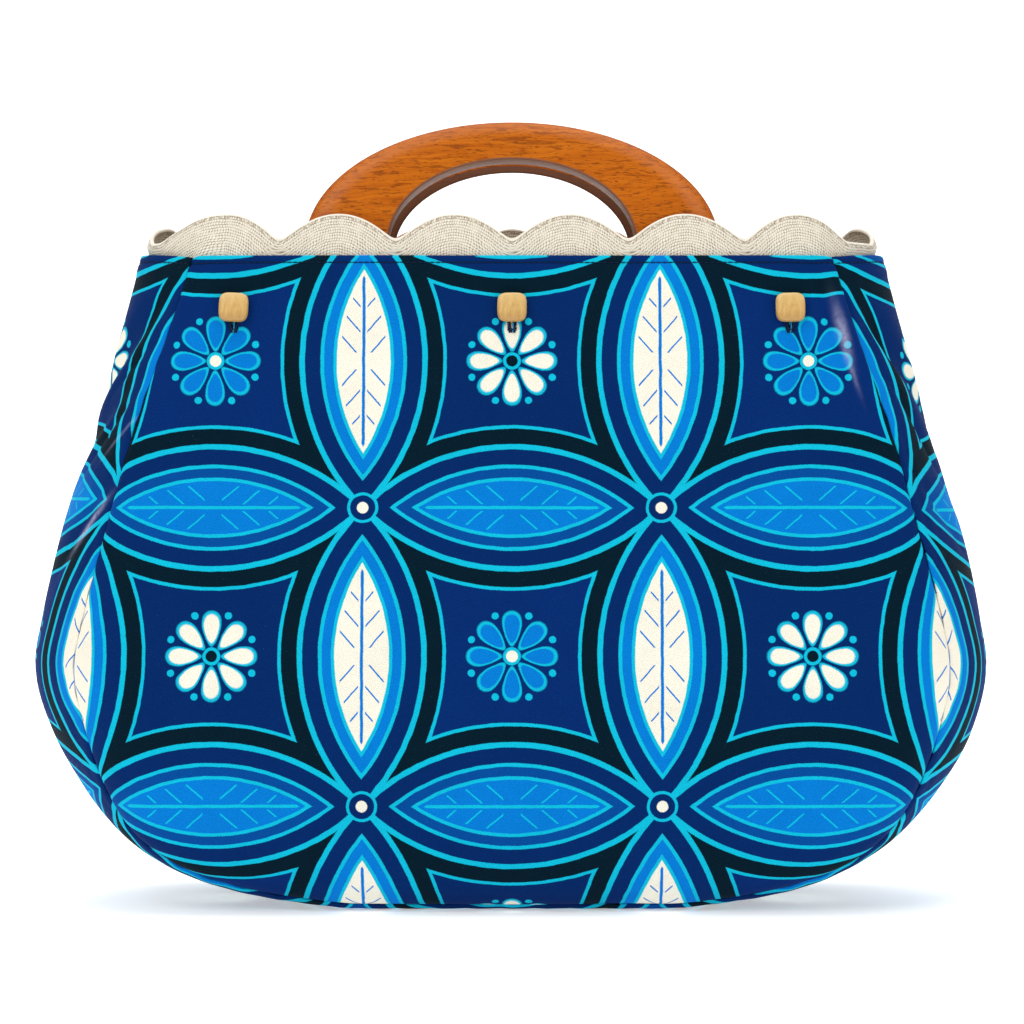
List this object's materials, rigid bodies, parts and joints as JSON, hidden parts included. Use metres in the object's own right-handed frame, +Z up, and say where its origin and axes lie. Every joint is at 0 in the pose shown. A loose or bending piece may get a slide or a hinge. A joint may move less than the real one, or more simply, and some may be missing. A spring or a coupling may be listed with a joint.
{
  "type": "wooden handle bag",
  "caption": "Soft handbag: a linen purse with a scalloped braid rim and two wooden D handles, in a printed canvas cover held by wooden buttons",
  "frame": {"origin": "middle of the bottom, on the surface that the bag stands on", "axes": "+X along the bag to its right end, +Y from the front to the back, +Z up"},
  "size_m": [0.3432, 0.112, 0.2795],
  "materials": {
    "printed_canvas": "printed cotton canvas, matt",
    "linen": "natural linen, matt",
    "linen_braid": "stitched natural braid, matt",
    "handle_wood": "stained wood, satin varnish",
    "button_wood": "light polished wood"
  },
  "bodies": {
    "root": {"cover_front": "printed_canvas", "cover_back": "printed_canvas", "cover_gusset": "printed_canvas", "purse_front": "linen", "purse_back": "linen", "purse_gusset": "linen", "handle_loop_front": "linen", "handle_loop_back": "linen", "scalloped_trim": "linen_braid", "handle_front": "handle_wood", "handle_back": "handle_wood", "button_front_1": "button_wood", "button_front_2": "button_wood", "button_front_3": "button_wood", "button_back_1": "button_wood", "button_back_2": "button_wood", "button_back_3": "button_wood"}
  },
  "joints": []
}
